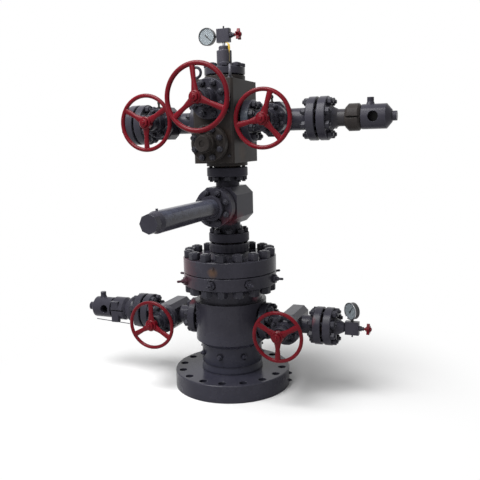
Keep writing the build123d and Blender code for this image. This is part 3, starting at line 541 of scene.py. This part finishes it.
# Float glass, thin and clean: it shows as little more than a sheen, so it is mostly let through.
glass = bpy.data.materials.new("gauge_window_glass")
glass.use_nodes = True
glass.node_tree.nodes.clear()
clear = add(glass.node_tree, "BsdfPrincipled", {"Base Color": (1, 1, 1, 1), "Roughness": 0.03,
                                                "Transmission Weight": 1.0, "IOR": 1.45, "Alpha": 0.06})
add(glass.node_tree, "OutputMaterial", {"Surface": clear.outputs[0]})


def bar(start, end, width, thick, lift):
    """A flat closed strip on the dial from start to end, in the dial's own plane. Its corners are
    start and end, each less and plus half the width across, a little narrower at the end."""
    start, end = np.array(start, float), np.array(end, float)
    along = (end - start) / np.linalg.norm(end - start)
    side = np.array([-along[1], along[0]]) * width / 2
    flat = np.array([start - side, end - side * 0.6, end + side * 0.6, start + side])
    points = np.concatenate([np.c_[flat, np.full(4, lift)], np.c_[flat, np.full(4, lift + thick)]])
    return points, [[3, 2, 1, 0], [4, 5, 6, 7], [0, 1, 5, 4], [1, 2, 6, 5], [2, 3, 7, 6], [3, 0, 4, 7]]


def polar(radius, degrees):
    """A point of the dial: radius times the cosine and the sine of an angle from its right."""
    return np.array([radius * np.cos(np.radians(degrees)), radius * np.sin(np.radians(degrees))])


def numeral(text, centre, size):
    """A number in the dial's plane, as a thin closed mesh about its centre: a text's outline made
    solid, then moved there."""
    curve = bpy.data.curves.new("numeral", "FONT")
    curve.body, curve.size, curve.extrude = text, size, 0.1
    curve.align_x, curve.align_y = "CENTER", "CENTER"
    curve.resolution_u = 2
    holder = bpy.data.objects.new("numeral", curve)
    bpy.context.scene.collection.objects.link(holder)
    drawn = holder.evaluated_get(bpy.context.evaluated_depsgraph_get())
    made = bpy.data.meshes.new_from_object(drawn)
    points = np.array([v.co for v in made.vertices]) + (*centre, 0.35)
    faces = [list(p.vertices) for p in made.polygons]
    bpy.data.objects.remove(holder)
    return points, faces


# The dial: its radius, its ticks' outer ends, and where its numbers are and how high.
DIAL_RADIUS, TICK_END, NUMBER_RADIUS, NUMBER_HIGH = 43.6, 41, 28, 6.5


def dial_gauge(name, centre, face, hand, rim_finish):
    """The dial, its printing, its hand, its window and its bezel, on a gauge's open face. The
    scale runs clockwise from 225 to -45 degrees, with a number every 45. The hand is an angle."""
    place = at(centre, face)
    disc = turned([(-0.5, DIAL_RADIUS), (0.25, DIAL_RADIUS)], 48)
    marks = []
    for k, angle in enumerate(np.linspace(225, -45, 13)):
        inner, width = (38, 0.6) if k % 2 else (35.5, 1.1)
        marks.append(bar(polar(inner, angle), polar(TICK_END, angle), width, 0.15, 0.25))
    for k in range(7):
        marks.append(numeral(str(10 * k), polar(NUMBER_RADIUS, 225 - 45 * k), NUMBER_HIGH))
    pointer = together(bar(polar(-14, hand), polar(35, hand), 6.0, 0.5, 1.0),
                       turned([(0.3, 4.5), (1.9, 4.5), (2.4, 3.5)], 20))
    window = turned([(2.6, 43.9), (3.3, 43.9), (4.0, 30), (4.3, 12)], 48)
    bezel = ring([(3.0, 43.8), (4.2, 44.6), (4.4, 46.4), (3.6, 48.2), (1.0, 48.6), (0.6, 47.6)], 48)
    for part, shape, finish in (("_dial", disc, dial_enamel), ("_dial_marks", together(*marks), dial_ink),
                                ("_hand", pointer, hand_lacquer), ("_window", window, glass),
                                ("_bezel", bezel, rim_finish)):
        piece(name + part, stamp(shape, *place), finish)


# The cases' radius, how far their faces stand ahead of their middles, where the top one is, how
# far the side one is turned from the front, and the angles of the hands.
CASE_RADIUS, FACE_AHEAD = 48, 14
TOP_GAUGE_X, TOP_HAND = -97, -42
SIDE_GAUGE_TURN, SIDE_HAND = np.radians(38), 52
top_low, top_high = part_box("top_gauge")
dial_gauge("top_gauge", (TOP_GAUGE_X, -FACE_AHEAD, (top_low.z + top_high.z) * 500), FRONT, TOP_HAND,
           case_lacquer)
side_x = needle_blocks["side_needle"][0]
side_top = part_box("side_gauge")[1].z * 1000
side_face = np.array([-np.sin(SIDE_GAUGE_TURN), -np.cos(SIDE_GAUGE_TURN), 0])
dial_gauge("side_gauge", (side_x, 0, side_top - CASE_RADIUS) + FACE_AHEAD * side_face, side_face, SIDE_HAND,
           bezel_steel)


def swept(path, width, thick, front):
    """A flat bar carried along a path of points. At each, side is the path's direction crossed
    with front and out is side crossed with the direction, and the four corners are the point
    less or plus half of width . side and half of thick . out."""
    along = np.gradient(path, axis=0)
    along /= np.linalg.norm(along, axis=1)[:, None]
    side = np.cross(along, front)
    side /= np.linalg.norm(side, axis=1)[:, None]
    out = np.cross(side, along)
    corners = [(-1, -1), (1, -1), (1, 1), (-1, 1)]
    grid = np.stack([path + w * side * width / 2 + t * out * thick / 2 for w, t in corners], 1)
    index = np.arange(grid[..., 0].size).reshape(grid.shape[:2])
    low, high = index[:-1], index[1:]
    quads = np.stack([low, np.roll(low, -1, 1), np.roll(high, -1, 1), high], -1).reshape(-1, 4)
    return grid.reshape(-1, 3), quads[:, ::-1].tolist() + [index[0].tolist(), index[-1, ::-1].tolist()]


# A moulded yellow tag on the nipple, of weathered polyethylene: matt, and gone to olive towards its
# tip. It runs 28 mm out as 1 - (1 - t)^8, while it hangs 104 mm as t^1.3. It is 3 mm wide at the
# nipple, then 12 mm, then 5 mm.
tag_yellow = plain("moulded_yellow_polyethylene", "#b08f1c", rough=0.5, metallic=0.0, mottle="#463d22",
                   scale_mm=8, amount=0.3, faded=(1.912, 1.895))
TAG_START, TAG_OUT, TAG_DROP, TAG_THICK = (11, -11, 1954), (28, -8, 0), (0, 0, -104), 1.6
TAG_FRONT = (0.35, -0.93, 0)
t = np.linspace(0, 1, 28)[:, None]
tag_path = TAG_START + (1 - (1 - t) ** 8) * TAG_OUT + t ** 1.3 * TAG_DROP
tag_width = np.interp(t, [0, 0.1, 0.2, 0.42, 0.55, 1], [3, 3, 12, 12, 5, 5])
piece("inspection_tag", swept(tag_path, tag_width, TAG_THICK, TAG_FRONT), tag_yellow)

# Wings
# Cast gate valves joined to the block by studs, and by stud bolts to the outlet's hub flange on
# the right and to a blank flange on the left. The clamp union and the end body are forgings.
dress(grey_enamel, "right_wing_valve", "left_wing_valve", "right_wing_hub_flange", "right_wing_end",
      "left_wing_blind")
dress(block_enamel, "right_wing_union")
# Each valve's inner studs are tapped into the block, and its outer ones go through two flanges.
WING_SEAT, WING_OUTER = 174, 488
wing_tapped = stud(RUN_STUD, RUN_NUT, 62, (46, 56), both=False)
wing_through = stud(RUN_STUD, RUN_NUT, 104, (46, 58))
for name, side in (("right", 1), ("left", -1)):
    inner = bolt_circle((side * WING_SEAT, 0, WING_HEIGHT), (-side, 0, 0), RUN_CIRCLE)
    outer = bolt_circle((side * WING_OUTER, 0, WING_HEIGHT), (side, 0, 0), RUN_CIRCLE)
    piece(name + "_wing_studs", together(stamp(wing_tapped, *inner), stamp(wing_through, *outer)),
          nut_enamel)

# Side outlets
# The head's two smaller gate valves. The right one ends in a blank flange with a gauge, the left
# one in a hub, a clamp and an end body, with a loose rod through the clamp's lug.
dress(grey_enamel, "right_side_valve", "left_side_valve", "right_side_blind", "left_side_hub_flange",
      "left_side_union", "left_side_end")
SIDE_CIRCLE, SIDE_SEAT, SIDE_OUTER = 82.5, 242, 515
side_tapped = stud(RUN_STUD, RUN_NUT, 58, (44, 52), both=False)
side_through = stud(RUN_STUD, RUN_NUT, 100, (44, 56))
for name, side in (("right", 1), ("left", -1)):
    inner = bolt_circle((side * SIDE_SEAT, 0, SIDE_HEIGHT), (-side, 0, 0), SIDE_CIRCLE)
    outer = bolt_circle((side * SIDE_OUTER, 0, SIDE_HEIGHT), (side, 0, 0), SIDE_CIRCLE)
    piece(name + "_side_studs", together(stamp(side_tapped, *inner), stamp(side_through, *outer)),
          nut_enamel)
ROD_START, ROD_WAY = (-905, -55, 325), np.array([240, 0, -13])
rod = turned([(0, 1.5), (1, 2.5), (239, 2.5), (240, 1.5)], 10)
piece("clamp_rod", stamp(rod, *at(ROD_START, ROD_WAY / np.linalg.norm(ROD_WAY))), nut_enamel)

# Studio
# A pale floor that turns white away from the wellhead, and a surround that is white to the camera
# and in reflections but lights weakly. One broad soft lamp stands above and a weak one in front.
# The camera stands where the photograph's did.
scene = bpy.context.scene
scene.view_settings.view_transform = "Standard"

world = bpy.data.worlds.new("studio")
scene.world = world
world.use_nodes = True
sky = world.node_tree
sky.nodes.clear()
rays = add(sky, "LightPath").outputs
seen = add(sky, "Math", {0: rays["Is Camera Ray"], 1: rays["Is Glossy Ray"]},
           operation="MAXIMUM").outputs[0]
seen = add(sky, "Math", {0: seen, 1: rays["Is Transmission Ray"]}, operation="MAXIMUM").outputs[0]
SURROUND_LIGHT = 0.34
level = add(sky, "MapRange", {0: seen, 3: SURROUND_LIGHT, 4: 1.0}).outputs[0]
backdrop = add(sky, "Background", {"Color": (1, 1, 1, 1), "Strength": level})
add(sky, "OutputWorld", {"Surface": backdrop.outputs[0]})

floor_material = bpy.data.materials.new("pale_studio_floor")
floor_material.use_nodes = True
ground = floor_material.node_tree
ground.nodes.clear()
rays = add(ground, "LightPath").outputs
seen = add(ground, "Math", {0: rays["Is Camera Ray"], 1: rays["Is Glossy Ray"]},
           operation="MAXIMUM").outputs[0]
where = add(ground, "TexCoord").outputs["Object"]
away = add(ground, "VectorMath", {0: where}, operation="LENGTH").outputs["Value"]
SHADE_ENDS, WHITE_FROM = 0.5, 1.6
far = add(ground, "MapRange", {0: away, 1: SHADE_ENDS, 2: WHITE_FROM},
          interpolation_type="SMOOTHSTEP").outputs[0]
white = add(ground, "Math", {0: far, 1: seen}, operation="MULTIPLY").outputs[0]
matt = add(ground, "BsdfDiffuse", {"Color": linear("#ececec")})
glow = add(ground, "Emission", {"Color": (1, 1, 1, 1), "Strength": 1.0})
both = add(ground, "MixShader", {0: white, 1: matt.outputs[0], 2: glow.outputs[0]})
add(ground, "OutputMaterial", {"Surface": both.outputs[0]})
floor_mesh = bpy.data.meshes.new("floor")
FLOOR_HALF = 30.0
corners = FLOOR_HALF * np.array([(-1, -1, 0), (1, -1, 0), (1, 1, 0), (-1, 1, 0)])
floor_mesh.from_pydata(corners.tolist(), [], [[0, 1, 2, 3]])
floor_mesh.materials.append(floor_material)
floor = bpy.data.objects.new("floor", floor_mesh)
scene.collection.objects.link(floor)


def aim(thing, place, target, lean=0.0):
    """Put a lamp or the camera at a place in metres, looking at a target, its top leaning by an
    angle in radians: right is the look crossed with up, and both turn about the look."""
    look = np.array(target, float) - place
    look /= np.linalg.norm(look)
    right = np.cross(look, (0, 0, 1))
    right /= np.linalg.norm(right)
    up = np.cross(right, look)
    right, up = right * np.cos(lean) - up * np.sin(lean), up * np.cos(lean) + right * np.sin(lean)
    matrix = np.eye(4)
    matrix[:3, :3] = np.stack([right, up, -look], -1)
    matrix[:3, 3] = place
    thing.matrix_world = Matrix(matrix.tolist())
    scene.collection.objects.link(thing)


# Each lamp's place and width in metres, and its power in watts.
LAMPS = [("overhead", (-0.9, -1.5, 4.4), 2.4, 230), ("front", (-0.8, -3.7, 3.8), 2.5, 85)]
LIT = (0, 0, 0.9)
for name, place, size, power in LAMPS:
    lamp = bpy.data.lights.new(name, "AREA")
    lamp.shape, lamp.size, lamp.energy = "SQUARE", size, power
    aim(bpy.data.objects.new(name, lamp), np.array(place), LIT)

# The camera, fitted to the photograph: its stand in metres, the way it looks and its lean in radians.
camera = bpy.data.cameras.new("camera")
camera.sensor_width, camera.lens = 36.0, 47.14
eye = bpy.data.objects.new("camera", camera)
STAND, LOOK, LEAN = np.array([1.406, -3.304, 1.409]), (-0.3712, 0.9158, -0.1534), 0.025
aim(eye, STAND, STAND + LOOK, LEAN)
scene.camera = eye
